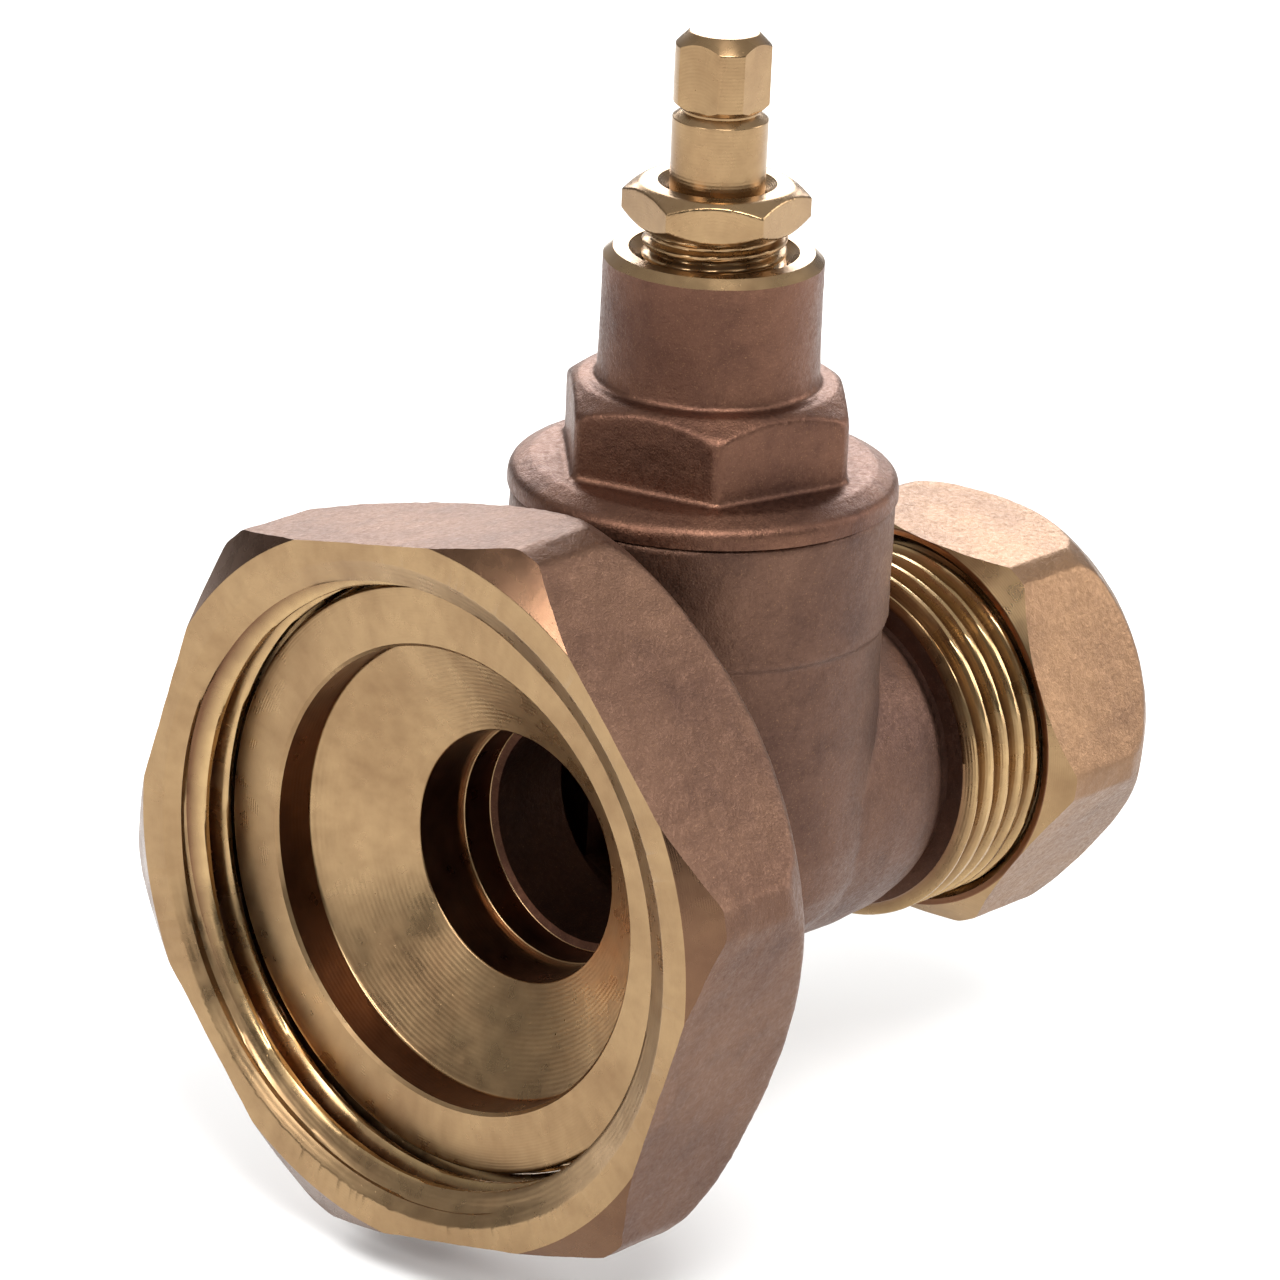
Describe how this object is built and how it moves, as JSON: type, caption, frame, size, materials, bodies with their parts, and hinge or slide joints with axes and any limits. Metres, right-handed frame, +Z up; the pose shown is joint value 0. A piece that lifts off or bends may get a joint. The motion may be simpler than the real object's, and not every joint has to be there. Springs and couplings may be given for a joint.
{
  "type": "lockshield gate valve",
  "caption": "Gate-type lockshield valve for a circulator pump: loose union nut on a flange, upright bonnet with square spindle, and a compression end for copper pipe.",
  "frame": {"origin": "centre of the union flange's flat sealing face, on the flow axis", "axes": "+X along the flow axis from the pump towards the pipe, +Z up along the spindle, +Y completes the right-handed set"},
  "size_m": [0.0673, 0.058, 0.0873],
  "materials": {
    "forged_brass": "shot-blasted forging with machined sealing faces",
    "bonnet_brass": "shot-blasted forging with a turned rim",
    "fibre": "pressed fibre",
    "bright_brass": "turned",
    "packing": "PTFE",
    "union_brass": "forged flats, turned front and thread",
    "spring_steel": "plain spring steel",
    "nut_brass": "forged flats, turned ends",
    "soft_brass": "annealed"
  },
  "bodies": {
    "valve": {"valve_body": "forged_brass", "bonnet": "bonnet_brass", "bonnet_gasket": "fibre", "gland_packing": "packing", "gland_follower": "bright_brass", "gland_nut": "bright_brass"},
    "spindle": {"spindle": "bright_brass"},
    "gate": {"gate": "bright_brass"},
    "retaining_ring": {"nut_retaining_ring": "spring_steel"},
    "union_nut": {"union_nut": "union_brass"},
    "olive": {"olive": "soft_brass"},
    "compression_nut": {"compression_nut": "nut_brass"}
  },
  "joints": [
    {"name": "spindle_turn", "type": "hinge", "parent": "valve", "child": "spindle", "pos_m": [0.026, 0, 0.05], "axis": [0, 0, 1], "range_deg": [-2520, 0]},
    {"name": "gate_lift", "type": "slide", "parent": "valve", "child": "gate", "axis": [0, 0, 1], "range_m": [-0.0175, 0]},
    {"name": "union_nut_slide", "type": "slide", "parent": "valve", "child": "retaining_ring", "axis": [1, 0, 0], "range_m": [-0.0045, 0.0015]},
    {"name": "union_nut_spin", "type": "hinge", "parent": "retaining_ring", "child": "union_nut", "pos_m": [0.0025, 0, 0], "axis": [1, 0, 0], "continuous": true},
    {"name": "olive_slide", "type": "slide", "parent": "valve", "child": "olive", "axis": [1, 0, 0], "range_m": [-0.00137, 0.00364]},
    {"name": "compression_nut_turn", "type": "hinge", "parent": "olive", "child": "compression_nut", "pos_m": [0.0565, 0, 0], "axis": [1, 0, 0], "range_deg": [-270, 720]}
  ],
  "couplings": [
    {"joint": "spindle_turn", "follows": "gate_lift", "rad_per_m": 2513.3},
    {"joint": "olive_slide", "follows": "compression_nut_turn", "m_per_rad": 0.00028871}
  ]
}
